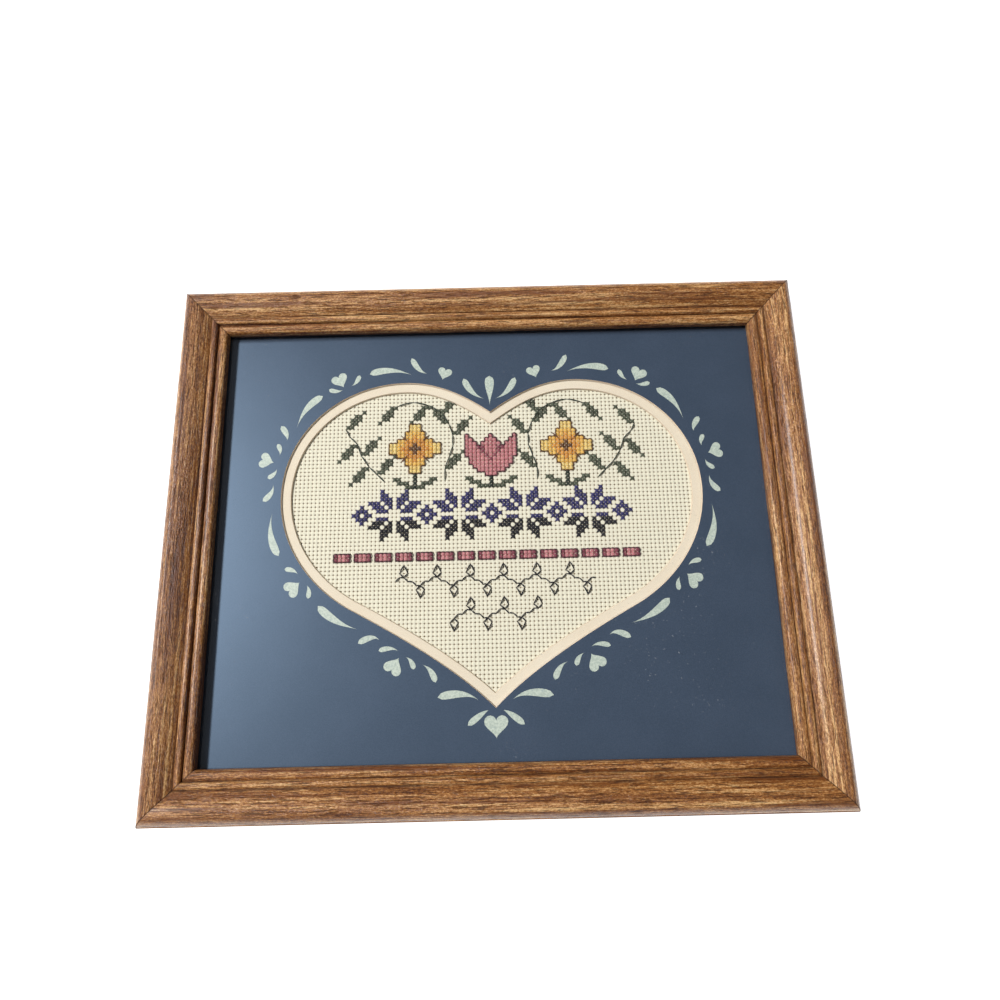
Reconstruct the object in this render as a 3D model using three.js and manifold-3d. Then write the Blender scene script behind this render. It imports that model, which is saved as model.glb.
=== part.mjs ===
// Framed cross stitch sampler: four mitred moulding rails hold a glass pane, two window mats with a
// heart opening, the stretched stitched cloth and a backing board.
// Millimetres. The frame lies on its back: +Z comes out of the picture, +Y points to its top, and the
// origin is the middle of the frame's back.
import * as THREE from "three";
import { mergeVertices } from "three/addons/utils/BufferGeometryUtils.js";
import Module from "manifold-3d";

const wasm = await Module();
wasm.setup();

// Driving dimensions of the frame, a ready-made 10 by 8 inch size
const GLASS_WIDTH = 254;
const GLASS_HEIGHT = 203.2;
const GLASS_THICKNESS = 2;
const LIP_OVERLAP = 6.35;
const MOULDING_WIDTH = 21.6;
const FIT_GAP = 0.3;

// Heights of the moulding above its back
const RABBET_DEPTH = 10;
const LIP_FACE_TOP = 11.2;
const SIDE_TOP = 9.5;
const EDGE_EASING = 0.6;

// Face of the moulding from its upright outer side to the sight edge: x runs outwards from the sight edge,
// y up from the back. A row is one cubic curve: its two handles and its end. The large round comes first,
// then the bead, then the rounded lip, with a groove before each of the last two.
const FACE = [
  { h1x: MOULDING_WIDTH, h1y: 13.4, h2x: 19.3, h2y: 18.6, x: 16.6, y: 18.6 },
  { h1x: 13.4, h1y: 18.6, h2x: 9.6, h2y: 16.6, x: 7.6, y: 14.5 },
  { h1x: 7.5, h1y: 14.4, h2x: 7.5, h2y: 14.4, x: 7.4, y: 14.5 },
  { h1x: 7.3, h1y: 15.1, h2x: 6.8, h2y: 15.4, x: 5.9, y: 15.4 },
  { h1x: 5, h1y: 15.4, h2x: 4.5, h2y: 14.8, x: 4.4, y: 13.5 },
  { h1x: 4.3, h1y: 13.4, h2x: 4.3, h2y: 13.4, x: 4.2, y: 13.5 },
  { h1x: 4, h1y: 14, h2x: 3.3, h2y: 14.2, x: 2.3, y: 14.2 },
  { h1x: 0.9, h1y: 14.2, h2x: 0, h2y: 13, x: 0, y: LIP_FACE_TOP },
];

// Layers behind the glass
const MAT_THICKNESS = 0.8;
const MAT_BEVEL = 0.3;
const MAT_REVEAL = 3.8;
const CLOTH_THICKNESS = 1;
const BOARD_THICKNESS = 2.4;
const LAYER_TRIM = 1;

// Right half of the heart opening in the upper mat, from the cleft round to the tip. A row is one
// cubic curve: its two handles and its end.
const CLEFT = { x: 0, y: 56.3 };
const HEART_HALF = [
  { h1x: 11.9, h1y: 65, h2x: 24.3, h2y: 71.4, x: 38.6, y: 71.4 },
  { h1x: 68.3, h1y: 71.4, h2x: 93.9, h2y: 49.1, x: 93.9, y: 18.4 },
  { h1x: 93.9, h1y: -4.3, h2x: 79.2, h2y: -23.6, x: 60.4, y: -33.5 },
  { h1x: 43.6, h1y: -42.6, h2x: 15.8, h2y: -58.3, x: 0, y: -74.4 },
];
const STEPS_PER_CURVE = 24;
const STEPS_PER_ROUND = 9;

// How far a cutter reaches past the board that it cuts, and the strip beside the heart's middle line
// in which its points are dropped
const CUT_MARGIN = 0.5;
const MIDDLE_STRIP = 0.5;
const MERGE_TOLERANCE = 1e-4;

const SIGHT_WIDTH = GLASS_WIDTH - 2 * LIP_OVERLAP;
const SIGHT_HEIGHT = GLASS_HEIGHT - 2 * LIP_OVERLAP;
const RABBET_WIDTH = LIP_OVERLAP + FIT_GAP;

const FINISHES = {
  oak: { color: 0x8f6440, roughness: 0.45, metalness: 0 },
  glass: { color: 0xe8f0f2, roughness: 0.05, metalness: 0, transparent: true, opacity: 0.2 },
  blue_mat: { color: 0x4a5a70, roughness: 0.85, metalness: 0 },
  cream_mat: { color: 0xf0e2c8, roughness: 0.85, metalness: 0 },
  cloth: { color: 0xf3ecd2, roughness: 0.95, metalness: 0 },
  board: { color: 0x9a7b55, roughness: 0.9, metalness: 0 },
};

function namedMesh(name, geometry, finish) {
  const mesh = new THREE.Mesh(geometry, new THREE.MeshStandardMaterial(FINISHES[finish]));
  mesh.name = name;
  return mesh;
}

// Section of the moulding: x runs outwards from the sight edge, y up from the back.
function mouldingSection() {
  const section = new THREE.Shape();
  section.moveTo(RABBET_WIDTH, 0);
  section.lineTo(MOULDING_WIDTH - EDGE_EASING, 0);
  section.lineTo(MOULDING_WIDTH, EDGE_EASING);
  section.lineTo(MOULDING_WIDTH, SIDE_TOP);
  for (const { h1x, h1y, h2x, h2y, x, y } of FACE) section.bezierCurveTo(h1x, h1y, h2x, h2y, x, y);
  section.lineTo(0, RABBET_DEPTH);
  section.lineTo(RABBET_WIDTH, RABBET_DEPTH);
  section.closePath();
  return section;
}

// A rail of the section with mitred ends: X runs along it, Y outwards from the sight edge, Z up.
function railGeometry(section, sightLength) {
  const options = { depth: 1, bevelEnabled: false, curveSegments: STEPS_PER_ROUND };
  const geometry = new THREE.ExtrudeGeometry(section, options);
  const position = geometry.getAttribute("position");
  for (let i = 0; i < position.count; i++) {
    const outwards = position.getX(i);
    const height = position.getY(i);
    const end = position.getZ(i) > 0.5 ? 1 : -1;
    const mitre = sightLength / 2 + outwards - FIT_GAP / Math.SQRT2;
    position.setXYZ(i, end * mitre, outwards, height);
  }
  return geometry;
}

function frameRails() {
  const section = mouldingSection();
  const rails = [
    { name: "rail_top", turn: 0, length: SIGHT_WIDTH, reach: SIGHT_HEIGHT / 2 },
    { name: "rail_left", turn: Math.PI / 2, length: SIGHT_HEIGHT, reach: SIGHT_WIDTH / 2 },
    { name: "rail_bottom", turn: Math.PI, length: SIGHT_WIDTH, reach: SIGHT_HEIGHT / 2 },
    { name: "rail_right", turn: -Math.PI / 2, length: SIGHT_HEIGHT, reach: SIGHT_WIDTH / 2 },
  ];
  const group = new THREE.Group();
  for (const { name, turn, length, reach } of rails) {
    const side = new THREE.Group();
    side.rotation.z = turn;
    const rail = namedMesh(name, railGeometry(section, length), "oak");
    rail.position.y = reach;
    side.add(rail);
    group.add(side);
  }
  return group;
}

// Points of the heart's right half, from the cleft to the tip, moved into the opening by an inset.
function heartHalf(inset) {
  const path = new THREE.Path().moveTo(CLEFT.x, CLEFT.y);
  for (const { h1x, h1y, h2x, h2y, x, y } of HEART_HALF) path.bezierCurveTo(h1x, h1y, h2x, h2y, x, y);
  const moved = [];
  for (const curve of path.curves) {
    for (let i = 0; i <= STEPS_PER_CURVE; i++) {
      if (i === 0 && moved.length) continue;
      const along = curve.getTangent(i / STEPS_PER_CURVE);
      const inwards = new THREE.Vector2(along.y, -along.x).multiplyScalar(inset);
      moved.push(curve.getPoint(i / STEPS_PER_CURVE).add(inwards));
    }
  }
  return moved;
}

// The point where the line through two points meets the middle of the heart.
function onMiddle(a, b) {
  return new THREE.Vector2(0, a.y - (a.x * (b.y - a.y)) / (b.x - a.x));
}

// The closed heart outline at an inset, with its cleft and tip on the middle line.
function heartOutline(inset) {
  const points = heartHalf(inset);
  const cleft = onMiddle(points[0], points[1]);
  const right = points.filter((p) => p.x > MIDDLE_STRIP);
  const last = right.length - 1;
  const tip = onMiddle(right[last - 1], right[last]);
  const left = right.map((p) => new THREE.Vector2(-p.x, p.y)).reverse();
  return new THREE.Shape([cleft, ...right, tip, ...left]);
}

function solidOf(geometry) {
  const bare = geometry.clone().deleteAttribute("normal").deleteAttribute("uv");
  const merged = mergeVertices(bare, MERGE_TOLERANCE);
  const triVerts = new Uint32Array(merged.index.array);
  const vertProperties = merged.getAttribute("position").array;
  return new wasm.Manifold(new wasm.Mesh({ numProp: 3, vertProperties, triVerts }));
}

function geometryOf(solid) {
  const { vertProperties, triVerts } = solid.getMesh();
  const geometry = new THREE.BufferGeometry();
  geometry.setAttribute("position", new THREE.BufferAttribute(vertProperties, 3));
  geometry.setIndex(new THREE.BufferAttribute(triVerts, 1));
  return geometry;
}

// A mat board whose heart opening is cut with a slanting edge, wider at the face than at the back.
// The board's face is at Z = 0, and faceInset is how far its opening lies inside the upper mat's.
function matGeometry(faceInset) {
  const width = GLASS_WIDTH - LAYER_TRIM;
  const height = GLASS_HEIGHT - LAYER_TRIM;
  const board = new THREE.BoxGeometry(width, height, MAT_THICKNESS);
  board.translate(0, 0, -MAT_THICKNESS / 2);
  const slant = MAT_BEVEL / MAT_THICKNESS;
  const run = (MAT_THICKNESS + 2 * CUT_MARGIN) * slant;
  const lowest = faceInset + (MAT_THICKNESS + CUT_MARGIN) * slant;
  const cutter = new THREE.ExtrudeGeometry(heartOutline(lowest), {
    depth: CUT_MARGIN,
    bevelThickness: MAT_THICKNESS + 2 * CUT_MARGIN,
    bevelSize: run,
    bevelSegments: 1,
  });
  cutter.translate(0, 0, CUT_MARGIN);
  return geometryOf(solidOf(board).subtract(solidOf(cutter)));
}

function layerBox(thickness, top) {
  const geometry = new THREE.BoxGeometry(GLASS_WIDTH - LAYER_TRIM, GLASS_HEIGHT - LAYER_TRIM, thickness);
  return geometry.translate(0, 0, top - thickness / 2);
}

// The layers in the rabbet, from the glass under the lip down to the board at the back.
function pictureLayers() {
  const group = new THREE.Group();
  let top = RABBET_DEPTH - FIT_GAP;
  const pane = new THREE.BoxGeometry(GLASS_WIDTH, GLASS_HEIGHT, GLASS_THICKNESS);
  group.add(namedMesh("glass", pane.translate(0, 0, top - GLASS_THICKNESS / 2), "glass"));

  top -= GLASS_THICKNESS + FIT_GAP;
  group.add(namedMesh("mat_blue", matGeometry(0).translate(0, 0, top), "blue_mat"));

  top -= MAT_THICKNESS + FIT_GAP;
  const creamInset = MAT_BEVEL + MAT_REVEAL;
  group.add(namedMesh("mat_cream", matGeometry(creamInset).translate(0, 0, top), "cream_mat"));

  top -= MAT_THICKNESS + FIT_GAP;
  group.add(namedMesh("cloth", layerBox(CLOTH_THICKNESS, top), "cloth"));

  top -= CLOTH_THICKNESS + FIT_GAP;
  group.add(namedMesh("board", layerBox(BOARD_THICKNESS, top), "board"));
  return group;
}

const sampler = new THREE.Group();
sampler.add(frameRails(), pictureLayers());

export default sampler;
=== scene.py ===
"""Looks of a framed cross stitch sampler: oak rails, glass, window mats, evenweave cloth and stitching.

The frame lies on its back, +Z comes out of the picture and +Y points to its top. Blender's lengths are
metres; the tables of shapes are in millimetres and the charts of stitches in squares of the cloth.
"""
import math
import random

import bmesh
import bpy
import numpy as np
from mathutils import Matrix, Vector


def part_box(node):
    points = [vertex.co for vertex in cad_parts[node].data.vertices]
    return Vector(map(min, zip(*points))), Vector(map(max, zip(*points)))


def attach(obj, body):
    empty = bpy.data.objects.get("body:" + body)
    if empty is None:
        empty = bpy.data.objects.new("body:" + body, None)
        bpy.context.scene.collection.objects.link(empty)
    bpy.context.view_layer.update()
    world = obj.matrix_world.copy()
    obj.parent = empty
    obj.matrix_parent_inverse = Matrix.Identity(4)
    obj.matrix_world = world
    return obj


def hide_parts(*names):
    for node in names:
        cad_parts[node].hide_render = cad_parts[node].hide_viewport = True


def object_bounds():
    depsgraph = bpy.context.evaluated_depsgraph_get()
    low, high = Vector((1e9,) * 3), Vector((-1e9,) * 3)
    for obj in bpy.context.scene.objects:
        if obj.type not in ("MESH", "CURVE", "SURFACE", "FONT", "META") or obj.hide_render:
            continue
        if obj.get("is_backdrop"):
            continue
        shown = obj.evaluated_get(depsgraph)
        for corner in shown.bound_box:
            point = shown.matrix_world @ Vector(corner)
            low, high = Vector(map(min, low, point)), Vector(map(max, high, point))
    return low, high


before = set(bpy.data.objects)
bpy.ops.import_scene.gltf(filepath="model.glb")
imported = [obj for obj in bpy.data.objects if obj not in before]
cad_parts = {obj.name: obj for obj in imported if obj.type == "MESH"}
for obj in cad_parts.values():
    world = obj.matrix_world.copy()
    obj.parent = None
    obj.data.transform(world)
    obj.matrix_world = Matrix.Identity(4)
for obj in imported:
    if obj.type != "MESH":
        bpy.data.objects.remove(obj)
cad_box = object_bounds()

MM = 0.001
chance = random.Random(14)

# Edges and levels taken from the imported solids
SIGHT_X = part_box("rail_right")[0].x
SIGHT_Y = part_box("rail_top")[0].y
CLOTH_LOW, CLOTH_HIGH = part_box("cloth")
PRINT_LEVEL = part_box("mat_blue")[1].z

# Section of the moulding in millimetres: widths run outwards from the sight edge, heights up from the back
RABBET_WIDTH = 6.65
RABBET_DEPTH = 10
MOULDING_WIDTH = 21.6
SIDE_TOP = 9.5
LIP_FACE_TOP = 11.2
EDGE_EASING = 0.6
# Its face from the outer side to the sight edge, two handles and an end a curve: round, bead and lip
FACE = (
    ((21.6, 13.4), (19.3, 18.6), (16.6, 18.6)),
    ((13.4, 18.6), (9.6, 16.6), (7.6, 14.5)),
    ((7.5, 14.4), (7.5, 14.4), (7.4, 14.5)),
    ((7.3, 15.1), (6.8, 15.4), (5.9, 15.4)),
    ((5, 15.4), (4.5, 14.8), (4.4, 13.5)),
    ((4.3, 13.4), (4.3, 13.4), (4.2, 13.5)),
    ((4, 14), (3.3, 14.2), (2.3, 14.2)),
    ((0.9, 14.2), (0, 13), (0, LIP_FACE_TOP)),
)
FACE_STEPS = 4
# Where the section darkens, with stain gathered there and painted shade: the two grooves, the lip's inner
# face and the outer side; and how far from there it fades out
STAIN_AND_SHADE = ((7.7, 14.5, 0.7), (4.4, 13.5, 0.6), (0, 10, 3), (21.6, 8, 7))
EDGE_SOFTNESS = 0.12
SHARP_ABOVE = 32
MITRE_GAP = 0.04
# Finishes of a rail, its varnished face and its bare outer side, with the shine of each
OAK_FACES = (("oak_", 1), ("bare_", 0))
# The rails, each a quarter turn after the last, and how much paler or darker each is painted: partly
# its own board, partly painted light and shade for how each rail is lit, the left one darkest
RAILS = (("rail_top", 0.013), ("rail_left", -0.018), ("rail_bottom", -0.003), ("rail_right", 0.003))

# Right half of the heart opening, in millimetres, from the cleft to the tip: two handles and an end a curve
CLEFT = (0, 56.3)
HEART_HALF = (
    ((11.9, 65), (24.3, 71.4), (38.6, 71.4)),
    ((68.3, 71.4), (93.9, 49.1), (93.9, 18.4)),
    ((93.9, -4.3), (79.2, -23.6), (60.4, -33.5)),
    ((43.6, -42.6), (15.8, -58.3), (0, -74.4)),
)
HEART_STEPS = 40
MIDDLE_STRIP = 0.5
WELD = 0.001
MAT_BEVEL = 0.3
CREAM_INSET = 4.1

# The cloth: one square of its weave, the cells that model it, and its relief, in millimetres
SQUARE = 25.4 / 14
CELLS_A_SQUARE = 4
HOLE_DEPTH = 0.55
GROOVE_DEPTH = 0.14
PILLOW_DEPTH = 0.05
WOVEN_INSET = 2.2

# Floss, in millimetres: radius of one ply, how far the two plies lie apart, the level of the holes that
# the legs come out of, and how high the lower leg, the upper leg and a line of back stitch reach
PLY_RADIUS = 0.27
PLY_APART = 0.44
HOLE_LEVEL = -0.35
LOWER_LEG = 0.16
UPPER_LEG = 0.48
LINE_RADIUS = 0.29
LINE_LEVEL = 0.7
# How far a leg reaches from the middle of its square, in squares, and how uneven the stitches are
LEG_REACH = 0.46
LEG_UNEVEN = 0.04
LINE_UNEVEN = 0.05
PLY_UNEVEN = 0.1
STRAND_STEPS = 6
STRAND_SIDES = 5

# The lamp, a tall window: where it stands, how far off and how large, in metres, and what the glass
# mirrors: the room, brighter to the left
LIGHT_FROM = (-0.56, 0.15, 0.81)
LIGHT_DISTANCE = 2.4
LIGHT_WATTS = 62
LIGHT_SIZE = (1.1, 0.16)
FLOOR_HALF = 3
ROOM_DIM = (0.13, 0.128, 0.126, 1)
ROOM_GLOW = (0.3, 0.31, 0.34, 1)

# Camera fitted to the corners of the frame
CAMERA_AT = Vector((3.69, -64.64, 314.44)) * MM
CAMERA_TILT = math.radians(14.42)
CAMERA_ROLL = math.radians(-1.344)
CAMERA_LENS = 25.69


# Shader maths


class Shade:
    """A socket of a shader tree. Arithmetic on it adds Math nodes, and node() adds any other node."""

    def __init__(self, tree, socket=None):
        self.tree = tree
        self.socket = socket

    def node(self, kind, inputs=None, out=0, stops=(), **settings):
        made = self.tree.nodes.new("ShaderNode" + kind)
        for key, value in settings.items():
            setattr(made, key, value)
        for place, _ in stops[2:]:
            made.color_ramp.elements.new(place)
        for index, (place, colour) in enumerate(stops):
            made.color_ramp.elements[index].position = place
            made.color_ramp.elements[index].color = colour
        for key, value in (inputs or {}).items():
            if isinstance(value, Shade):
                self.tree.links.new(value.socket, made.inputs[key])
            else:
                made.inputs[key].default_value = value
        return Shade(self.tree, made.outputs[out] if made.outputs else None)

    def math(self, operation, *values):
        return self.node("Math", dict(enumerate(values)), operation=operation)

    def __add__(self, other):
        return self.math("ADD", self, other)

    def __sub__(self, other):
        return self.math("SUBTRACT", self, other)

    def __rsub__(self, other):
        return self.math("SUBTRACT", other, self)

    def __mul__(self, other):
        return self.math("MULTIPLY", self, other)

    __radd__ = __add__
    __rmul__ = __mul__

    def smooth(self, low, high):
        """0 below low, 1 above high and an even rise between."""
        inputs = {"Value": self, "From Min": low, "From Max": high}
        return self.node("MapRange", inputs, interpolation_type="SMOOTHSTEP")

    def ramp(self, *stops):
        return self.node("ValToRGB", {"Fac": self}, stops=stops)

    def blend(self, first, second, way="MIX"):
        """The first colour where this value is 0, and the second where it is 1."""
        inputs = {"Factor": self, 6: first, 7: second}
        return self.node("Mix", inputs, out=2, data_type="RGBA", blend_type=way)

    def scaled(self, x, y, z):
        return self.node("VectorMath", {0: self, 1: (x, y, z)}, operation="MULTIPLY")

    def moved(self, x, y, z):
        return self.node("VectorMath", {0: self, 1: (x, y, z)}, operation="ADD")

    def noise(self, scale=1, detail=2, roughness=0.5):
        inputs = {"Vector": self, "Scale": scale, "Detail": detail, "Roughness": roughness}
        return self.node("TexNoise", inputs)

    def relief(self, strength, distance):
        """A normal that reads this value as height."""
        return self.node("Bump", {"Height": self, "Strength": strength, "Distance": distance})


def srgb(red, green, blue):
    """A colour as seen on a screen, 0 to 255, as the linear colour that shaders use."""
    parts = [value / 255 for value in (red, green, blue)]
    return (*(p / 12.92 if p < 0.04045 else ((p + 0.055) / 1.055) ** 2.4 for p in parts), 1)


def material(name, paint):
    """A material: paint gets an empty Shade and returns the finished shader."""
    made = bpy.data.materials.new(name)
    made.use_nodes = True
    made.node_tree.nodes.clear()
    surface = paint(Shade(made.node_tree))
    surface.node("OutputMaterial", {"Surface": surface})
    return made


# Finishes


def oak(name, quarter, lead, board_and_light_tone, shine):
    """Stained open-grained oak under satin varnish, its grain running along a rail and its mitres dark.
    Its grooves, the inner face of its lip and its outer side are darkened by stain and by painted shade.

    Lead is how much longer than its distance from the middle half the rail is, at the sight edge. The
    argument after lead makes the rail paler or darker, partly for its own board and partly as painted
    light and shade for how the rail is lit, and shine is 1 where it is varnished and less where not.
    """
    def paint(start):
        place = start.node("TexCoord", out="Object")
        turned = start.node("Mapping", {"Vector": place, "Rotation": (0, 0, -quarter * math.pi / 2)})
        along = start.node("SeparateXYZ", {0: turned}, out="X")
        outwards = start.node("SeparateXYZ", {0: turned}, out="Y")
        joint = 1 - (outwards + lead - along.math("ABSOLUTE", along)).smooth(0.1 * MM, 0.5 * MM)
        grain = turned.moved(0.41 * quarter, 0.13 * quarter, 0.07 * quarter)
        figure = grain.scaled(14, 240, 240).noise(detail=3)
        lines = grain.scaled(9, 760, 760).noise(detail=2)
        fibre = grain.scaled(70, 1200, 1200).noise(detail=4, roughness=0.7)
        speck = grain.scaled(800, 2100, 2100).noise(detail=3, roughness=0.75)
        pores = grain.scaled(170, 2300, 2300).noise(detail=2).smooth(0.55, 0.66)
        # A rail's tone shifts its wood paler or darker: partly its board, partly painted light and shade
        tone = figure * 0.2 + lines * 0.22 + fibre * 0.28 + speck * 0.4 + (board_and_light_tone - 0.05)
        wood = tone.ramp(
            (0.4, srgb(82, 40, 12)),
            (0.465, srgb(138, 84, 37)),
            (0.525, srgb(184, 127, 70)),
            (0.595, srgb(236, 191, 132)),
        )
        streak = grain.scaled(13, 420, 420).noise(detail=3, roughness=0.6).smooth(0.53, 0.66)
        wood = (streak * 0.75).blend(wood, srgb(112, 58, 18))
        wood = (pores * 0.75).blend(wood, srgb(70, 36, 13))
        stain_and_shade = start.node("Attribute", out="Fac", attribute_name="stain_and_shade")
        uneven = grain.scaled(30, 200, 200).noise(detail=2).smooth(0.35, 0.6) * 0.5 + 0.4
        stain_and_shade = stain_and_shade.math("MAXIMUM", stain_and_shade * uneven, joint * 0.7)
        # Stain and painted shade darken the wood: grooves, the lip's inner face and the outer side
        wood = stain_and_shade.blend(wood, srgb(54, 26, 10))
        return start.node("BsdfPrincipled", {
            "Base Color": wood,
            "Roughness": 0.28 + pores * 0.3 + stain_and_shade * 0.6,
            "Specular IOR Level": 0.5 * shine,
            "Coat Weight": (1 - stain_and_shade) * (0.15 * shine),
            "Coat Roughness": 0.18,
            "Normal": (speck * 1.4 + fibre * 0.5 - pores).relief(0.8, 0.3 * MM),
        })
    return material(name, paint)


def picture_glass():
    """Clear glass that reflects the room a little, with a little dust on it."""
    def paint(start):
        place = start.node("TexCoord", out="Object")
        drift = place.noise(scale=18, detail=2).smooth(0.45, 0.7)
        dust = place.noise(scale=1100, detail=1).smooth(0.73, 0.79) * drift
        clear = start.node("BsdfTransparent", {"Color": (1, 1, 1, 1)})
        gloss = start.node("BsdfGlossy", {"Color": (1, 1, 1, 1), "Roughness": 0.02})
        grey = start.node("BsdfDiffuse", {"Color": (0.7, 0.72, 0.75, 1)})
        outer = 1 - start.node("NewGeometry", out="Backfacing")
        mirrored = start.node("Fresnel", {"IOR": 1.5}) * outer
        pane = start.node("MixShader", {0: mirrored, 1: clear, 2: gloss})
        return start.node("MixShader", {0: dust * 0.25, 1: pane, 2: grey})
    return material("picture_glass", paint)


def mat_paper(name, colour, fleck, roughness=0.8, gloss=0.5, sheen=(1, 1, 1, 1)):
    """Paper with a fine tooth. Sheen tints what it reflects, and gloss says how much that is."""
    def paint(start):
        place = start.node("TexCoord", out="Object")
        tooth = place.noise(scale=2400, detail=3)
        cloud = place.noise(scale=45, detail=2)
        shade = (tooth * 0.7 + cloud * 0.3).smooth(0.35, 0.66).blend(colour, fleck)
        return start.node("BsdfPrincipled", {
            "Base Color": shade,
            "Roughness": roughness + tooth * 0.1,
            "Specular IOR Level": gloss,
            "Specular Tint": sheen,
            "Normal": tooth.relief(0.1, 0.02 * MM),
        })
    return material(name, paint)


def border_print():
    """Pale opaque ink with the mottle of a stencil."""
    def paint(start):
        place = start.node("TexCoord", out="Object")
        mottle = place.noise(scale=1300, detail=3)
        thin = place.noise(scale=420, detail=2).smooth(0.58, 0.74)
        ink = mottle.smooth(0.3, 0.7).blend(srgb(182, 196, 184), srgb(212, 222, 208))
        ink = (thin * 0.35).blend(ink, srgb(150, 172, 180))
        return start.node("BsdfPrincipled", {
            "Base Color": ink,
            "Roughness": 0.5,
            "Normal": mottle.relief(0.2, 0.05 * MM),
        })
    return material("border_print", paint)


def from_line(axis):
    """How far a place is from the nearest line of holes, in squares of the cloth: 0 on it, 0.5 midway."""
    squares = axis * (1 / (SQUARE * MM)) + 0.5
    return squares.math("PINGPONG", squares, 0.5)


def evenweave():
    """Ivory cotton woven in blocks of threads, with a hole at each corner of a block."""
    def paint(start):
        place = start.node("TexCoord", out="Object")
        across = start.node("SeparateXYZ", {0: place}, out="X")
        up = start.node("SeparateXYZ", {0: place}, out="Y")
        beside, below = from_line(across), from_line(up)
        from_hole = across.math("SQRT", beside * beside + below * below)
        hole = 1 - from_hole.smooth(0.12, 0.28)
        seam = 1 - beside.math("MINIMUM", beside, below).smooth(0.01, 0.1)
        squares = place.scaled(1 / (SQUARE * MM), 1 / (SQUARE * MM), 0).moved(0.5, 0.5, 0.5)
        over = start.node("TexChecker", {"Vector": squares, "Scale": 1}, out="Fac")
        warp = beside.math("PINGPONG", beside, 0.125) * 8
        weft = below.math("PINGPONG", below, 0.125) * 8
        threads = warp * over + weft * (1 - over)
        fuzz = place.noise(scale=3000, detail=2)
        cotton = (threads * 0.6 + fuzz * 0.4).smooth(0.1, 0.8).blend(srgb(237, 230, 204), srgb(253, 249, 229))
        cotton = (seam * 0.45).blend(cotton, srgb(188, 172, 138))
        cotton = (hole * 0.95).blend(cotton, srgb(112, 92, 62))
        return start.node("BsdfPrincipled", {
            "Base Color": cotton,
            "Roughness": 0.9,
            "Normal": (threads + fuzz * 0.5).relief(0.4, 0.1 * MM),
        })
    return material("evenweave", paint)


def floss(name, colour, shade_and_dark_dye):
    """Cotton floss: a twist along each ply, painted shade in its grooves, mottled dye and a soft sheen."""
    def paint(start):
        ply = start.node("Attribute", out="Vector", attribute_name="ply")
        along = start.node("SeparateXYZ", {0: ply}, out="X")
        across = start.node("SeparateXYZ", {0: ply}, out="Y")
        turns = along * 3.2 + across * 0.6
        twist = turns.math("PINGPONG", turns, 0.5) * 2
        place = start.node("TexCoord", out="Object")
        dye = place.noise(scale=260, detail=2).smooth(0.35, 0.65)
        # The twist's grooves take the darker tone as painted shade, mixed with the dye's mottle
        tone = twist.smooth(0, 0.6) * 0.6 + dye * 0.4
        return start.node("BsdfPrincipled", {
            "Base Color": tone.blend(shade_and_dark_dye, colour),
            "Roughness": 0.55,
            "Sheen Weight": 0.15,
            "Normal": twist.relief(0.5, 0.08 * MM),
        })
    return material(name, paint)


def hardboard():
    """Brown pressed fibre with the mesh of its press on the back."""
    def paint(start):
        place = start.node("TexCoord", out="Object")
        fibre = place.scaled(1, 1, 0.2).noise(scale=700, detail=4, roughness=0.65)
        cloud = place.noise(scale=25, detail=2)
        mesh = start.node("TexVoronoi", {"Vector": place, "Scale": 750, "Randomness": 0.12}, feature="F1")
        tone = (fibre * 0.65 + cloud * 0.35).ramp(
            (0.35, srgb(98, 70, 44)),
            (0.5, srgb(134, 102, 68)),
            (0.66, srgb(164, 130, 92)),
        )
        return start.node("BsdfPrincipled", {
            "Base Color": tone,
            "Roughness": 0.8 + fibre * 0.15,
            "Normal": (mesh + fibre * 0.5).relief(0.4, 0.2 * MM),
        })
    return material("hardboard", paint)


def pale_floor():
    """Plain pale floor that glows, so that the shadow on it stays light."""
    def paint(start):
        place = start.node("TexCoord", out="Object")
        shade = place.noise(scale=3, detail=1).blend((0.5, 0.5, 0.5, 1), (0.52, 0.52, 0.52, 1))
        return start.node("BsdfPrincipled", {
            "Base Color": shade,
            "Roughness": 0.8,
            "Emission Color": (1, 1, 1, 1),
            "Emission Strength": 1.05,
        })
    return material("pale_floor", paint)


# Making pieces


def piece(name, shape, finishes, smooth_below=None):
    """An object of the sampler from a bmesh or a mesh, riding on the one body that the part has."""
    mesh = shape
    if isinstance(shape, bmesh.types.BMesh):
        mesh = bpy.data.meshes.new(name)
        shape.to_mesh(mesh)
        shape.free()
    for finish in finishes:
        mesh.materials.append(finish)
    if smooth_below is not None:
        mesh.shade_smooth()
        mesh.set_sharp_from_angle(angle=math.radians(smooth_below))
    made = bpy.data.objects.new(name, mesh)
    bpy.context.scene.collection.objects.link(made)
    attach(made, "root")
    return made


def curve_points(start, first, second, end, steps):
    """Points on a cubic curve after its start, each with the direction of the curve there."""
    start, first, second, end = (np.array(p, float) for p in (start, first, second, end))
    for t in np.linspace(0, 1, steps + 1)[1:]:
        s = 1 - t
        point = s**3 * start + 3 * s * s * t * first + 3 * s * t * t * second + t**3 * end
        along = s * s * (first - start) + 2 * s * t * (second - first) + t * t * (end - second)
        yield point, along / np.linalg.norm(along)


# Oak rails


def stain_and_shade_at(out, up):
    """How much stain and painted shade a place on the section holds, from 0 to 1."""
    return max(0, *(1 - math.dist((out, up), (x, y)) / reach for x, y, reach in STAIN_AND_SHADE))


def moulding_section():
    """Points round the moulding as (outwards, up), in millimetres."""
    points = [(RABBET_WIDTH, 0), (MOULDING_WIDTH - EDGE_EASING, 0), (MOULDING_WIDTH, EDGE_EASING)]
    points.append((MOULDING_WIDTH, SIDE_TOP))
    for first, second, end in FACE:
        steps = max(3, round(FACE_STEPS * math.dist(points[-1], end)))
        points += [tuple(point) for point, along in curve_points(points[-1], first, second, end, steps)]
    return points + [(0, RABBET_DEPTH), (RABBET_WIDTH, RABBET_DEPTH)]


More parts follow.
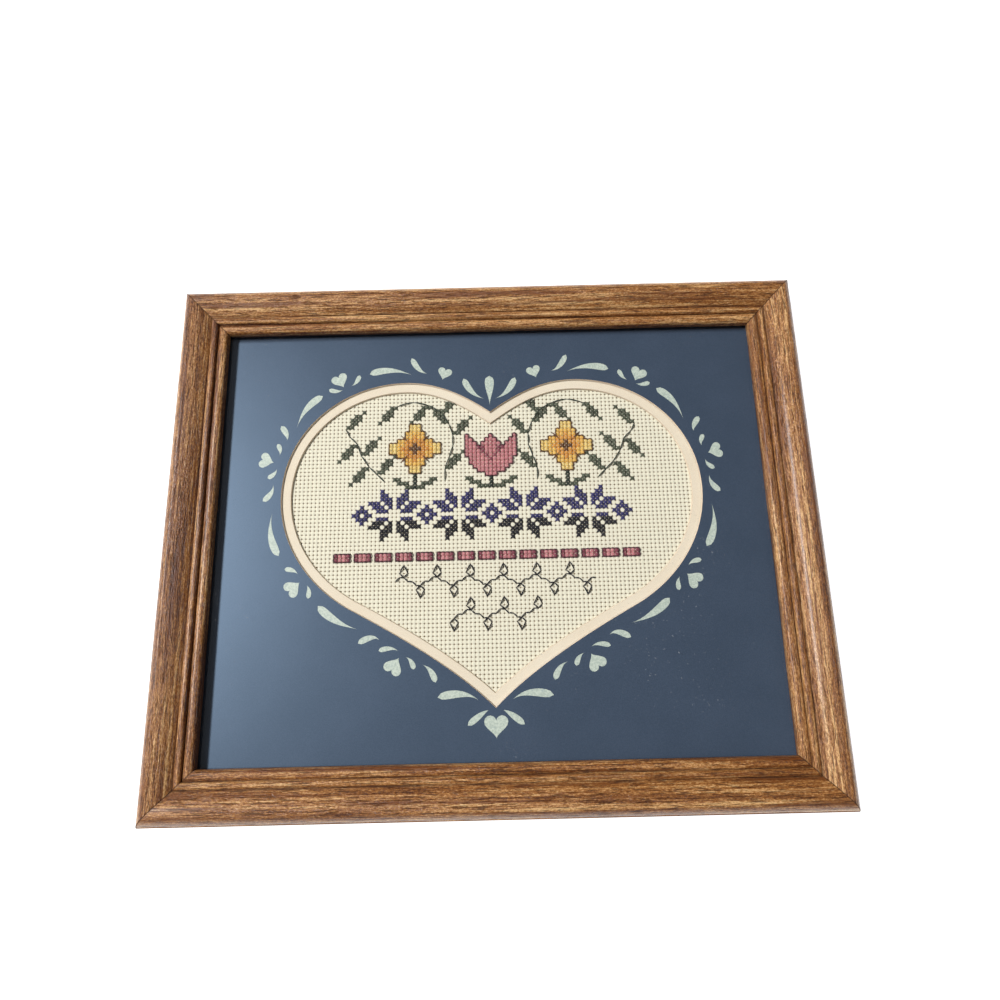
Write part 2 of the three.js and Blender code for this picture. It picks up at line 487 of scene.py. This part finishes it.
def oak_rail(name, quarter, board_and_light_tone):
    """One mitred rail: the section is drawn out along the rail, and its ends are slanted outwards."""
    half, reach = (SIGHT_X, SIGHT_Y) if quarter % 2 == 0 else (SIGHT_Y, SIGHT_X)
    bm = bmesh.new()
    # Each vertex holds its stain and painted shade, read by the oak finish
    stain_and_shade = bm.verts.layers.float.new("stain_and_shade")
    loop = []
    for out, up in moulding_section():
        vert = bm.verts.new((-1, out * MM, up * MM))
        vert[stain_and_shade] = stain_and_shade_at(out, up)
        loop.append(vert)
    drawn = bmesh.ops.extrude_face_region(bm, geom=[bm.faces.new(loop)])["geom"]
    bmesh.ops.translate(bm, verts=[g for g in drawn if isinstance(g, bmesh.types.BMVert)], vec=(2, 0, 0))
    for face in bm.faces:
        if min(vert.co.y for vert in face.verts) > (MOULDING_WIDTH - 2 * EDGE_EASING) * MM:
            face.material_index = 1
    for vert in bm.verts:
        vert.co.x *= half + vert.co.y - MITRE_GAP * MM
        vert.co.y += reach
    bmesh.ops.rotate(bm, verts=bm.verts, matrix=Matrix.Rotation(quarter * math.pi / 2, 3, "Z"))
    bmesh.ops.recalc_face_normals(bm, faces=bm.faces)
    finishes = [oak(kind + name, quarter, half - reach, board_and_light_tone, shine) for kind, shine in OAK_FACES]
    made = piece("oak_" + name, bm, finishes, smooth_below=SHARP_ABOVE)
    soften = made.modifiers.new("soft_edges", "BEVEL")
    soften.width = EDGE_SOFTNESS * MM
    soften.segments = 2
    soften.limit_method = "ANGLE"
    soften.angle_limit = math.radians(SHARP_ABOVE)
    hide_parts(name)


# Window mats


def heart_half(inset):
    """The heart's right half from cleft to tip, moved into the opening by an inset, in millimetres."""
    points = []
    start = CLEFT
    for first, second, end in HEART_HALF:
        for point, along in curve_points(start, first, second, end, HEART_STEPS):
            points.append(point + inset * np.array((along[1], -along[0])))
        start = end
    return np.array(points)


def on_middle(near, far):
    """Where the line through two points meets the heart's middle line."""
    return np.array((0, near[1] - near[0] * (far[1] - near[1]) / (far[0] - near[0])))


def right_hearts(*insets):
    """The heart's right half at each inset, point for point, with its ends on the middle line."""
    curves = [heart_half(inset) for inset in insets]
    clear = np.min([curve[:, 0] for curve in curves], axis=0) > MIDDLE_STRIP
    curves = [curve[clear] for curve in curves]
    return [np.array([on_middle(c[0], c[1]), *c, on_middle(c[-1], c[-2])]) for c in curves]


def heart_outline(inset):
    """The closed heart at an inset, clockwise from its cleft, in millimetres."""
    right = right_hearts(inset)[0]
    return np.concatenate((right, right[-2:0:-1] * (-1, 1)))


def edges_along(bm, verts):
    """The edges from each vertex to the next, made where they are missing."""
    pairs = list(zip(verts, verts[1:]))
    return [bm.edges.get(pair) or bm.edges.new(pair) for pair in pairs]


def add_left_half(bm):
    """Mirrors a right half, welds it along the middle line and turns its faces outwards."""
    bmesh.ops.mirror(bm, geom=bm.verts[:] + bm.edges[:] + bm.faces[:], axis="X", merge_dist=WELD * MM)
    bmesh.ops.recalc_face_normals(bm, faces=bm.faces)


def right_corners(low, high):
    """Corners of the right half of a rectangle, from the top of its middle line round to the bottom."""
    return [(0, high.y), (high.x, high.y), (high.x, low.y), (0, low.y)]


def window_mat(node, inset, paper, core):
    """A mat board with a heart opening, its cut edge slanting down to a smaller heart at the back."""
    low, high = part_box(node)
    bm = bmesh.new()
    rims, hearts = [], []
    for level, opening in zip((high.z, low.z), right_hearts(inset, inset + MAT_BEVEL)):
        rim = [bm.verts.new((x, y, level)) for x, y in right_corners(low, high)]
        heart = [bm.verts.new((x, y, level)) for x, y in opening[::-1] * MM]
        bm.faces.new(rim + heart)
        rims += edges_along(bm, rim)
        hearts += edges_along(bm, heart)
    bmesh.ops.bridge_loops(bm, edges=rims)
    for face in bmesh.ops.bridge_loops(bm, edges=hearts)["faces"]:
        face.material_index = 1
    add_left_half(bm)
    made = piece(node + "_board", bm, [paper, core], smooth_below=30)
    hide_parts(node)


# Printed border on the upper mat


# Comma strokes beside the opening, in millimetres: width, then along the opening from the cleft and out
# from its edge for the tail and for the head, and how far the middle of the stroke bends outwards
COMMAS = (
    (3, 4.6, 3.8, 17, 8, -1.8),
    (2.6, 32.2, 5.5, 39.1, 12.5, -1.8),
    (3.3, 38.6, 4, 56.4, 7, 2.1),
    (2.1, 65.3, 4.5, 60.4, 8, -0.9),
    (2.1, 69.3, 4.5, 74.2, 8, -0.9),
    (3.4, 94.5, 4.5, 77.7, 7, 2.1),
    (2.6, 101.5, 5, 97.5, 11, -1.4),
    (2.1, 108.4, 5, 104.4, 8, -0.9),
    (2.1, 114.3, 4, 118.8, 7, -0.9),
    (2.6, 121.3, 4, 128.2, 8, -1.4),
    (3.3, 133.6, 4, 151.5, 6, 2.1),
    (2.1, 162.3, 3, 157.4, 6.5, -0.9),
    (2.1, 168.3, 3, 172.7, 6.5, -0.9),
    (3.5, 196.5, 5.5, 177.7, 6, 1.5),
    (2.6, 207.4, 5, 200, 10.5, -2),
    (2.1, 216.8, 5, 209.4, 9, -1.2),
    (2.2, 220.8, 5.5, 226.7, 8, -0.9),
    (2.6, 228.7, 4.5, 237.6, 7.5, -1.2),
    (3.3, 256.9, 2.5, 242, 12, -2.4),
    (2.6, 262.8, 2.7, 260.4, 13, -1.8),
)
# Small hearts beside the opening, in millimetres: along it, out from it, and width
PRINT_HEARTS = ((25.2, 7.5, 6.6), (68.5, 9.5, 7.6), (112, 10, 7.2), (165.5, 8.5, 7.6), (218.5, 11.5, 8))
CLEFT_PETAL = ((0, 59.6), (0, 74), 4.2)
TIP_HEART = ((0, -81), 10)
SMALL_HEART_STEPS = 28
INK_THICKNESS = 0.04
INK_LIFT = 0.01
COMMA_STEPS = 14
COMMA_BELLY = 0.8


def beside_opening(along, out):
    """The place at a length along the opening's right half and a distance out from it, and the way out."""
    edge = heart_half(0)
    lengths = np.concatenate(([0], np.cumsum(np.linalg.norm(np.diff(edge, axis=0), axis=1))))
    ahead = np.gradient(edge, axis=0)
    place, way = (
        np.array([np.interp(along, lengths, column) for column in table.T]) for table in (edge, ahead)
    )
    way = np.array((-way[1], way[0])) / np.linalg.norm(way)
    return place + out * way, way


def comma(tail, head, width, bend):
    """Outline of a stroke that swells from a pointed tail to a round head."""
    tail, head, bend = np.array(tail), np.array(head), np.array(bend)
    control = (tail + head) / 2 + 2 * bend
    left, right = [], []
    for t in np.linspace(0, 1, COMMA_STEPS + 1):
        spine = (1 - t) ** 2 * tail + 2 * t * (1 - t) * control + t * t * head
        ahead = (1 - t) * (control - tail) + t * (head - control)
        side = np.array((-ahead[1], ahead[0])) / np.linalg.norm(ahead)
        if t < COMMA_BELLY:
            swell = math.sin(math.pi / 2 * t / COMMA_BELLY) ** 1.7
        else:
            swell = math.sqrt(max(0, 1 - ((t - COMMA_BELLY) / (1 - COMMA_BELLY)) ** 2))
        left.append(spine + side * swell * width / 2)
        right.append(spine - side * swell * width / 2)
    return left + right[-2:0:-1]


def small_heart(centre, width, tip_way):
    """Outline of a heart, its tip pointing a given way."""
    down = np.array(tip_way)
    across = np.array((-down[1], down[0]))
    outline = []
    for t in np.linspace(0, 2 * math.pi, SMALL_HEART_STEPS, endpoint=False):
        x = math.sin(t) ** 3 / 2
        y = (13 * math.cos(t) - 5 * math.cos(2 * t) - 2 * math.cos(3 * t) - math.cos(4 * t)) / 32
        outline.append(np.array(centre) + width * (x * across - y * down))
    return outline


def printed_border(ink):
    """The border of hearts and comma strokes round the opening, a thin film of ink on the upper mat."""
    right = []
    for width, tail_along, tail_out, head_along, head_out, bend in COMMAS:
        tail, head = beside_opening(tail_along, tail_out)[0], beside_opening(head_along, head_out)[0]
        way = beside_opening((tail_along + head_along) / 2, 0)[1]
        right.append(comma(tail, head, width, bend * way))
    for along, out, width in PRINT_HEARTS:
        centre, way = beside_opening(along, out)
        right.append(small_heart(centre, width, -way))
    outlines = right + [[p * (-1, 1) for p in outline] for outline in right]
    outlines.append(comma(*CLEFT_PETAL, (0, 0)))
    outlines.append(small_heart(*TIP_HEART, (0, -1)))
    bm = bmesh.new()
    level = PRINT_LEVEL + INK_LIFT * MM
    rings = [[bm.verts.new((x * MM, y * MM, level)) for x, y in outline] for outline in outlines]
    films = [bm.faces.new(ring) for ring in rings]
    raised = bmesh.ops.extrude_face_region(bm, geom=films)["geom"]
    raised = [g for g in raised if isinstance(g, bmesh.types.BMVert)]
    bmesh.ops.translate(bm, verts=raised, vec=(0, 0, INK_THICKNESS * MM))
    bmesh.ops.triangulate(bm, faces=[f for f in bm.faces if len(f.verts) > 4])
    bmesh.ops.recalc_face_normals(bm, faces=bm.faces)
    piece("printed_border", bm, [ink])


# Cloth


def inside(points, outline):
    """Which points lie inside a closed outline."""
    within = np.zeros(len(points), bool)
    for (x0, y0), (x1, y1) in zip(outline, np.roll(outline, -1, axis=0)):
        crosses = (y0 > points[:, 1]) != (y1 > points[:, 1])
        reach = x0 + (points[:, 1] - y0) * (x1 - x0) / (y1 - y0 if y1 != y0 else 1)
        within ^= crosses & (points[:, 0] < reach)
    return within


def weave_drop(x, y):
    """How far the cloth lies below its highest threads at a place given in millimetres."""
    beside, below = (abs(axis / SQUARE + 0.5 - round(axis / SQUARE + 0.5)) for axis in (x, y))
    near = 0.5 / CELLS_A_SQUARE
    if beside < near and below < near:
        return HOLE_DEPTH
    if beside < near or below < near:
        return GROOVE_DEPTH
    return PILLOW_DEPTH * (1 - 2 * min(beside, below))


def stretched_cloth(finish):
    """The cloth: woven relief where the mats leave it open, and plain under them to its edge."""
    cell = SQUARE / CELLS_A_SQUARE
    outline = heart_outline(WOVEN_INSET)
    columns = math.ceil(outline[:, 0].max() / cell)
    lowest, highest = math.floor(outline[:, 1].min() / cell), math.ceil(outline[:, 1].max() / cell)
    rows = highest - lowest
    bm = bmesh.new()
    bmesh.ops.create_grid(bm, x_segments=columns, y_segments=rows, size=0.5)
    bmesh.ops.scale(bm, verts=bm.verts, vec=(columns * cell * MM, rows * cell * MM, 1))
    centre = (columns * cell * MM / 2, (lowest + highest) * cell * MM / 2, CLOTH_HIGH.z)
    bmesh.ops.translate(bm, verts=bm.verts, vec=centre)
    places = np.array([face.calc_center_median()[:2] for face in bm.faces]) / MM
    hidden = [face for face, seen in zip(bm.faces, inside(places, outline)) if not seen]
    bmesh.ops.delete(bm, geom=hidden, context="FACES")
    middle = {vert for vert in bm.verts if vert.co.x < cell * MM / 2}
    rim = [edge for edge in bm.edges if edge.is_boundary and not middle.issuperset(edge.verts)]
    held = {vert for edge in rim for vert in edge.verts}
    for vert in bm.verts:
        if vert not in held:
            vert.co.z -= weave_drop(vert.co.x / MM, vert.co.y / MM) * MM
    tip, cleft = sorted(held & middle, key=lambda vert: vert.co.y)
    corners = right_corners(CLOTH_LOW, CLOTH_HIGH)
    upper = [bm.verts.new((x, y, CLOTH_HIGH.z)) for x, y in corners]
    lower = [bm.verts.new((x, y, CLOTH_LOW.z)) for x, y in corners]
    bmesh.ops.edgeloop_fill(bm, edges=rim + edges_along(bm, [cleft, *upper, tip]))
    bm.faces.new(lower)
    bmesh.ops.bridge_loops(bm, edges=edges_along(bm, upper) + edges_along(bm, lower))
    add_left_half(bm)
    made = piece("woven_cloth", bm, [finish], smooth_below=60)
    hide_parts("cloth")
    return made


# Stitching


def star(col, row):
    """An eight-pointed star of eight slanting petals."""
    for near in range(1, 4):
        for far in range(near + 1, near + 4):
            for x, y in ((near, far), (far, near)):
                yield from ((col + i * x, row + j * y) for i in (-1, 1) for j in (-1, 1))


def diamond(col, row):
    """A small hollow diamond."""
    for x in range(-2, 3):
        for y in range(-2, 3):
            if 0 < abs(x) + abs(y) <= 2:
                yield col + x, row + y


# Right halves of motifs, the middle column first and rows from the top, in the colours of THREADS
TULIP = (
    "r.....r", "rr...rr", "rrr.rrr", "rrpprrr", "rrprrrr", "rprrrrr", "prrrrr.", "rrrrrr.", "rrrrr..",
    "rrrr...", "rr.....", "s....gg", "s..ggg.", "sggg...",
)
FOOT = ("s......", "s...gg.", "s.ggg..", "sgg....")
THREADS = {"r": "rose", "p": "dark_rose", "g": "green", "s": "stem"}
GROUND_ROW = 12
FLOWERS_AT = (-19, 19)
FLOWER_ROW = 22
# Radius of a flower in squares, how far its petals stand out, and where its colours end, from the centre
FLOWER_SIZE = 5
PETAL = 1.5
FLOWER_RINGS = ((1.3, "brown"), (3.1, "amber"), (4.7, "gold"), (9, "straw"))
STAR_ROW = 5
STARS_AT = (-24, -8, 8, 24)
DIAMONDS_AT = (-32, -16, 0, 16, 32)
BRICK_ROWS = (-6, -5)
BRICKS = 15
BRICK_PITCH = 5
# Stems of the right half as columns and rows, and its leaves: stem, place on it and which way the leaf points
STEMS = (
    ((26, 13), (28, 15), (30, 17), (32, 20), (33, 23), (35, 25), (36, 27)),
    ((11, 13), (11, 16), (10, 19), (9, 22), (9, 25), (10, 28), (12, 31), (15, 33), (19, 34), (23, 33)),
)
LEAF = ((0, 0), (1, 0), (1, 1), (2, 1), (1, 2), (2, 2), (3, 2), (2, 3), (3, 3), (4, 4))
LEAVES = (
    (0, 1, -1, 1), (0, 2, 1, -1), (0, 3, -1, 1), (0, 4, 1, -1), (0, 6, -1, 1), (1, 1, -1, 1),
    (1, 4, -1, 1), (1, 5, 1, 1), (1, 6, -1, 1), (1, 7, 1, -1), (1, 9, 1, -1),
)
VINES = ((-12, 24), (-20, 10))
VINE_WAVE = (0, 1, 1, 0, 0, -1, -1, 0)

# Each floss: its colour, then a darker tone for painted shade in the twist and for deeper dye
FLOSS = {
    "navy": (srgb(62, 60, 122), srgb(32, 30, 74)),
    "ink": (srgb(24, 23, 36), srgb(12, 11, 18)),
    "rose": (srgb(224, 156, 158), srgb(184, 102, 112)),
    "dark_rose": (srgb(164, 88, 102), srgb(112, 48, 62)),
    "straw": (srgb(252, 232, 158), srgb(240, 198, 102)),
    "gold": (srgb(250, 212, 116), srgb(228, 166, 62)),
    "amber": (srgb(238, 178, 84), srgb(204, 128, 44)),
    "brown": (srgb(120, 78, 40), srgb(80, 46, 22)),
    "green": (srgb(98, 106, 86), srgb(58, 64, 48)),
    "stem": (srgb(44, 58, 46), srgb(26, 36, 28)),
    "plum": (srgb(96, 48, 58), srgb(60, 26, 36)),
}


def stitch_chart(squares, chart, col):
    """Adds a motif that stands on the ground row to the stitched squares, both its halves."""
    for row, marks in enumerate(reversed(chart)):
        for x, mark in enumerate(marks):
            if mark in THREADS:
                for side in (-1, 1):
                    squares[col + side * x, GROUND_ROW + row] = THREADS[mark]


def stitch_flower(squares, col):
    """Adds a flower of four round petals, paler outwards."""
    reach = range(-math.ceil(FLOWER_SIZE + PETAL), math.ceil(FLOWER_SIZE + PETAL) + 1)
    for x in reach:
        for y in reach:
            distance, turn = math.hypot(x, y), math.atan2(y, x)
            if distance <= FLOWER_SIZE + PETAL * math.cos(4 * turn):
                ring = next(colour for edge, colour in FLOWER_RINGS if distance < edge)
                squares[col + x, FLOWER_ROW + y] = ring


def design():
    """Colour of each stitched square, and the lines of back stitch as hole to hole with their colour."""
    squares, lines = {}, []
    for col in STARS_AT:
        squares.update({(x, y): "navy" if y >= STAR_ROW - 1 else "ink" for x, y in star(col, STAR_ROW)})
    for col in DIAMONDS_AT:
        squares.update({place: "navy" for place in diamond(col, STAR_ROW)})
    stitch_chart(squares, TULIP, 0)
    for col in FLOWERS_AT:
        stitch_chart(squares, FOOT, col)
        stitch_flower(squares, col)
        for x, y in ((-1, -1), (-1, 1), (1, -1), (1, 1)):
            near, far = ((col + x * step, FLOWER_ROW + y * step) for step in (1.5, 3.5))
            lines.append((near, far, "brown"))
    for side in (-1, 1):
        for stem, place, x, y in LEAVES:
            col, row = STEMS[stem][place]
            col, row = col + (x + 1) // 2, row + (y + 1) // 2
            squares.update({(side * (col + x * a), row + y * b): "green" for a, b in LEAF})
        for stem in STEMS:
            holes = [(side * (col + 0.5), row + 0.5) for col, row in stem]
            lines += [(start, end, "stem") for start, end in zip(holes, holes[1:])]
    first = -(BRICKS * BRICK_PITCH) // 2
    for brick in range(BRICKS):
        for x in range(BRICK_PITCH - 1):
            for row in BRICK_ROWS:
                squares[first + brick * BRICK_PITCH + x, row] = "rose" if x in (1, 2) else "dark_rose"
    for outlined, ink in ((("rose", "dark_rose"), "plum"), (("straw", "gold", "amber", "brown"), "brown")):
        lines += outline_of({place for place, colour in squares.items() if colour in outlined}, ink)
    for row, half in VINES:
        lines += vine(row, half)
    return squares, lines


def outline_of(places, colour):
    """Back stitch along each side where a stitched square meets one that isn't in the set."""
    for col, row in places:
        left, right, low, high = col - 0.5, col + 0.5, row - 0.5, row + 0.5
        sides = (
            (col - 1, row, (left, low), (left, high)),
            (col + 1, row, (right, low), (right, high)),
            (col, row - 1, (left, low), (right, low)),
            (col, row + 1, (left, high), (right, high)),
        )
        for beyond_col, beyond_row, start, end in sides:
            if (beyond_col, beyond_row) not in places:
                yield start, end, colour


def vine(row, half):
    """A waving line of back stitch with a small leaf on each crest and in each trough."""
    waves = len(VINE_WAVE)
    holes = [(col, row + VINE_WAVE[col % waves]) for col in range(-half, half + 1)]
    runs = list(zip(holes, holes[1:]))
    for col, level in holes:
        if col % waves in (2, 6):
            up = 1 if col % waves == 2 else -1
            steps = ((0, 0), (-1, 1), (0, 3), (1, 1), (0, 0))
            leaf = [(col + x, level + up * y) for x, y in steps]
            runs += list(zip(leaf, leaf[1:]))
    for start, end in runs:
        yield *((x + 0.5, y + 0.5) for x, y in (start, end)), "ink"


def strand_mesh(name, strands):
    """A mesh of many strands, each a tube that dives into the cloth at both ends.

    A strand is start x and y, end x and y, its peak above the cloth and its radius, in millimetres.
    """
    rows = np.array(strands)
    start, end, peak, radius = rows[:, 0:2], rows[:, 2:4], rows[:, 4], rows[:, 5]
    t = np.linspace(0, 1, STRAND_STEPS)
    angle = np.linspace(0, 2 * np.pi, STRAND_SIDES, endpoint=False)
    length = np.linalg.norm(end - start, axis=1)
    ahead = (end - start) / length[:, None]
    side = np.stack((-ahead[:, 1], ahead[:, 0]), axis=1)
    centre = start[:, None] + (end - start)[:, None] * t[:, None]
    height = HOLE_LEVEL + (peak - HOLE_LEVEL)[:, None] * (1 - np.abs(2 * t - 1) ** 3)
    girth = radius[:, None] * (0.65 + 0.35 * np.sin(np.pi * t))
    out = girth[:, :, None] * np.cos(angle)
    rise = height[:, :, None] + 0.85 * girth[:, :, None] * np.sin(angle)
    xy = centre[:, :, None] + side[:, None, None] * out[..., None]
    points = np.concatenate((xy, rise[..., None]), axis=3).reshape(-1, 3) * MM
    points[:, 2] += CLOTH_HIGH.z
    ring, turn = np.meshgrid(np.arange(STRAND_STEPS - 1), np.arange(STRAND_SIDES), indexing="ij")
    after = (turn + 1) % STRAND_SIDES
    near, far = ring * STRAND_SIDES, (ring + 1) * STRAND_SIDES
    wall = np.stack((near + turn, near + after, far + after, far + turn), axis=-1).reshape(-1, 4)
    whole = STRAND_STEPS * STRAND_SIDES
    first_cap = np.arange(STRAND_SIDES)[::-1]
    last_cap = np.arange(whole - STRAND_SIDES, whole)
    faces = []
    for base in range(0, whole * len(rows), whole):
        faces += (wall + base).tolist()
        faces += [(first_cap + base).tolist(), (last_cap + base).tolist()]
    mesh = bpy.data.meshes.new(name)
    mesh.from_pydata(points, [], faces)
    ply = np.zeros((len(rows), STRAND_STEPS, STRAND_SIDES, 3), np.float32)
    ply[..., 0] = length[:, None, None] * t[:, None]
    ply[..., 1] = np.cos(angle)
    mesh.attributes.new("ply", "FLOAT_VECTOR", "POINT").data.foreach_set("vector", ply.ravel())
    return mesh


def cross_legs(col, row):
    """The strands of one cross stitch: two legs of two plies, the upper leg over the lower."""
    for slant, peak in ((1, LOWER_LEG), (-1, UPPER_LEG)):
        for ply in (-0.5, 0.5):
            shift = ply * PLY_APART + chance.uniform(-LEG_UNEVEN, LEG_UNEVEN)
            aside = np.array((-slant, 1)) * shift / math.sqrt(2)
            reach = LEG_REACH * np.array((1, slant))
            ends = [(np.array((col, row)) + way * reach) * SQUARE + aside for way in (-1, 1)]
            level = peak + chance.uniform(-LEG_UNEVEN, LEG_UNEVEN)
            yield *ends[0], *ends[1], level, PLY_RADIUS * chance.uniform(1 - PLY_UNEVEN, 1 + PLY_UNEVEN)


def stitching():
    """All the stitches, one piece a colour for the crosses and one a colour for the lines."""
    squares, lines = design()
    finishes = {name: floss("floss_" + name, *tones) for name, tones in FLOSS.items()}
    crosses, back = {}, {}
    for (col, row), colour in sorted(squares.items()):
        crosses.setdefault(colour, []).extend(cross_legs(col, row))
    for start, end, colour in sorted(lines):
        ends = (*(p * SQUARE for p in start), *(p * SQUARE for p in end))
        level = LINE_LEVEL + chance.uniform(-LINE_UNEVEN, LINE_UNEVEN)
        back.setdefault(colour, []).append((*ends, level, LINE_RADIUS))
    made = []
    for kind, groups in (("crosses_", crosses), ("lines_", back)):
        for colour, strands in groups.items():
            mesh = strand_mesh(kind + colour, strands)
            made.append(piece(kind + colour, mesh, [finishes[colour]], smooth_below=80))
    return made


# Studio


def lay_floor():
    """The pale floor that the frame lies on."""
    bm = bmesh.new()
    bmesh.ops.create_grid(bm, x_segments=1, y_segments=1, size=FLOOR_HALF)
    mesh = bpy.data.meshes.new("floor")
    bm.to_mesh(mesh)
    bm.free()
    mesh.materials.append(pale_floor())
    floor = bpy.data.objects.new("floor", mesh)
    bpy.context.scene.collection.objects.link(floor)
    floor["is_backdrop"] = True


def light_room():
    """A tall window to the left, and a dim room round it that looks white to the camera."""
    lamp = bpy.data.lights.new("window_light", "AREA")
    lamp.energy = LIGHT_WATTS
    lamp.shape = "RECTANGLE"
    lamp.size, lamp.size_y = LIGHT_SIZE
    light = bpy.data.objects.new("window_light", lamp)
    light.location = Vector(LIGHT_FROM).normalized() * LIGHT_DISTANCE
    light.rotation_euler = light.location.to_track_quat("Z", "Y").to_euler()
    bpy.context.scene.collection.objects.link(light)
    world = bpy.data.worlds.new("room")
    world.use_nodes = True
    world.node_tree.nodes.clear()
    start = Shade(world.node_tree)
    way = start.node("TexCoord", out="Generated")
    left = start.node("SeparateXYZ", {0: way}, out="X")
    up = start.node("SeparateXYZ", {0: way}, out="Y")
    glow = (1 - left.smooth(-0.45, 0)) * left.smooth(-0.6, -0.45) * up.smooth(-0.45, 0.25)
    glow = glow * (1 - up.smooth(0.35, 0.8))
    seen = start.node("LightPath", out="Is Camera Ray")
    walls = seen.blend(glow.blend(ROOM_DIM, ROOM_GLOW), (1, 1, 1, 1))
    room = start.node("Background", {"Color": walls, "Strength": 1})
    room.node("OutputWorld", {"Surface": room})
    bpy.context.scene.world = world


def set_camera():
    """The camera at the photograph's angle."""
    camera = bpy.data.cameras.new("camera")
    camera.lens = CAMERA_LENS
    camera.clip_start = 0.01
    view = bpy.data.objects.new("camera", camera)
    tilt, roll = Matrix.Rotation(CAMERA_TILT, 4, "X"), Matrix.Rotation(CAMERA_ROLL, 4, "Z")
    view.matrix_world = Matrix.Translation(CAMERA_AT) @ tilt @ roll
    bpy.context.scene.collection.objects.link(view)
    bpy.context.scene.camera = view
    bpy.context.scene.view_settings.view_transform = "Standard"


def sampler():
    """The whole framed sampler."""
    for quarter, (name, board_and_light_tone) in enumerate(RAILS):
        oak_rail(name, quarter, board_and_light_tone)
    core = mat_paper("mat_core", srgb(222, 202, 178), srgb(234, 216, 194))
    blue = mat_paper("blue_paper", srgb(60, 73, 91), srgb(70, 83, 102), 0.34, 0.66, (0.52, 0.74, 1, 1))
    cream = mat_paper("cream_paper", srgb(237, 222, 197), srgb(245, 234, 212))
    window_mat("mat_blue", 0, blue, core)
    window_mat("mat_cream", CREAM_INSET, cream, core)
    printed_border(border_print())
    cloth = stretched_cloth(evenweave())
    stitches = stitching()
    for node, finish in (("glass", picture_glass()), ("board", hardboard())):
        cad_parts[node].data.materials.clear()
        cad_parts[node].data.materials.append(finish)


sampler()
lay_floor()
light_room()
set_camera()
boxes = {"cad": cad_box, "visual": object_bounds()}
{name: [list(corner) for corner in box] for name, box in boxes.items()}
